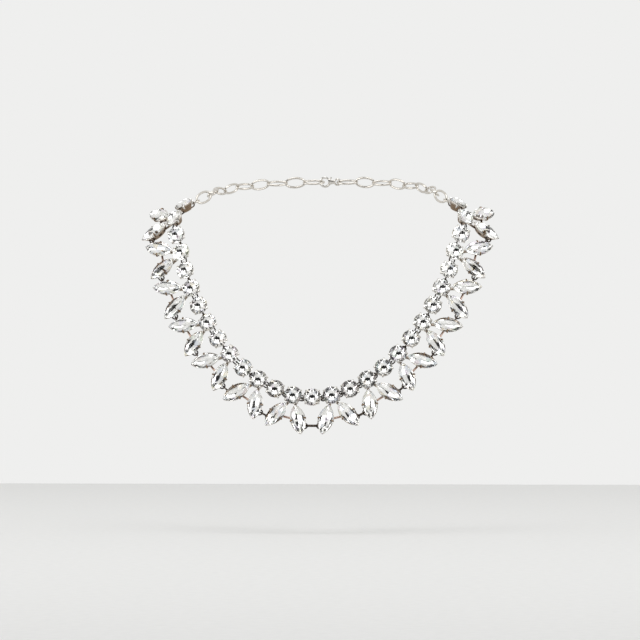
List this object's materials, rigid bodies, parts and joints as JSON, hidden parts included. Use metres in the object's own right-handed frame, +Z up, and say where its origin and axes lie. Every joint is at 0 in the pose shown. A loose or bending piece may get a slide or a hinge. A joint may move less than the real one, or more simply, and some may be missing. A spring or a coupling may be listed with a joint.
{
  "type": "crystal bib necklace",
  "caption": "Bib necklace, as worn: round and navette crystals in claw cups on wire links, with splayed pairs along the lower edge, closed by a cable chain and lobster clasp at the nape.",
  "frame": {"origin": "the seat on the nape of the neck, at the middle of the clasp, where the closed loop is held as it is worn", "axes": "+Z up, the front of the necklace faces -Y, +X to the viewer's right"},
  "size_m": [0.1836, 0.1151, 0.1354],
  "materials": {
    "set_crystal": "clear foil-backed cut glass stones fused to silver-plated claw cups",
    "silver_wire": "bright silver-plated brass wire, darker in the recesses",
    "clasp_silver": "bright silver-plated cast clasp"
  },
  "bodies": {
    "root": {"chain_left": "silver_wire", "chain_right": "silver_wire", "end_ring_left": "silver_wire", "end_ring_right": "silver_wire", "lobster_clasp": "clasp_silver", "navette_pair_left_1": "set_crystal", "navette_pair_left_2": "set_crystal", "navette_pair_left_3": "set_crystal", "navette_pair_left_4": "set_crystal", "navette_pair_left_5": "set_crystal", "navette_pair_left_6": "set_crystal", "navette_pair_left_7": "set_crystal", "navette_pair_right_1": "set_crystal", "navette_pair_right_2": "set_crystal", "navette_pair_right_3": "set_crystal", "navette_pair_right_4": "set_crystal", "navette_pair_right_5": "set_crystal", "navette_pair_right_6": "set_crystal", "navette_pair_right_7": "set_crystal", "round_stone_centre": "set_crystal", "round_stone_left_1": "set_crystal", "round_stone_left_2": "set_crystal", "round_stone_left_3": "set_crystal", "round_stone_left_4": "set_crystal", "round_stone_left_5": "set_crystal", "round_stone_left_6": "set_crystal", "round_stone_left_7": "set_crystal", "round_stone_right_1": "set_crystal", "round_stone_right_2": "set_crystal", "round_stone_right_3": "set_crystal", "round_stone_right_4": "set_crystal", "round_stone_right_5": "set_crystal", "round_stone_right_6": "set_crystal", "round_stone_right_7": "set_crystal", "spacer_link_centre": "silver_wire", "spacer_link_left_1": "silver_wire", "spacer_link_left_2": "silver_wire", "spacer_link_left_3": "silver_wire", "spacer_link_left_4": "silver_wire", "spacer_link_left_5": "silver_wire", "spacer_link_left_6": "silver_wire", "spacer_link_right_1": "silver_wire", "spacer_link_right_2": "silver_wire", "spacer_link_right_3": "silver_wire", "spacer_link_right_4": "silver_wire", "spacer_link_right_5": "silver_wire", "spacer_link_right_6": "silver_wire"}
  },
  "joints": []
}
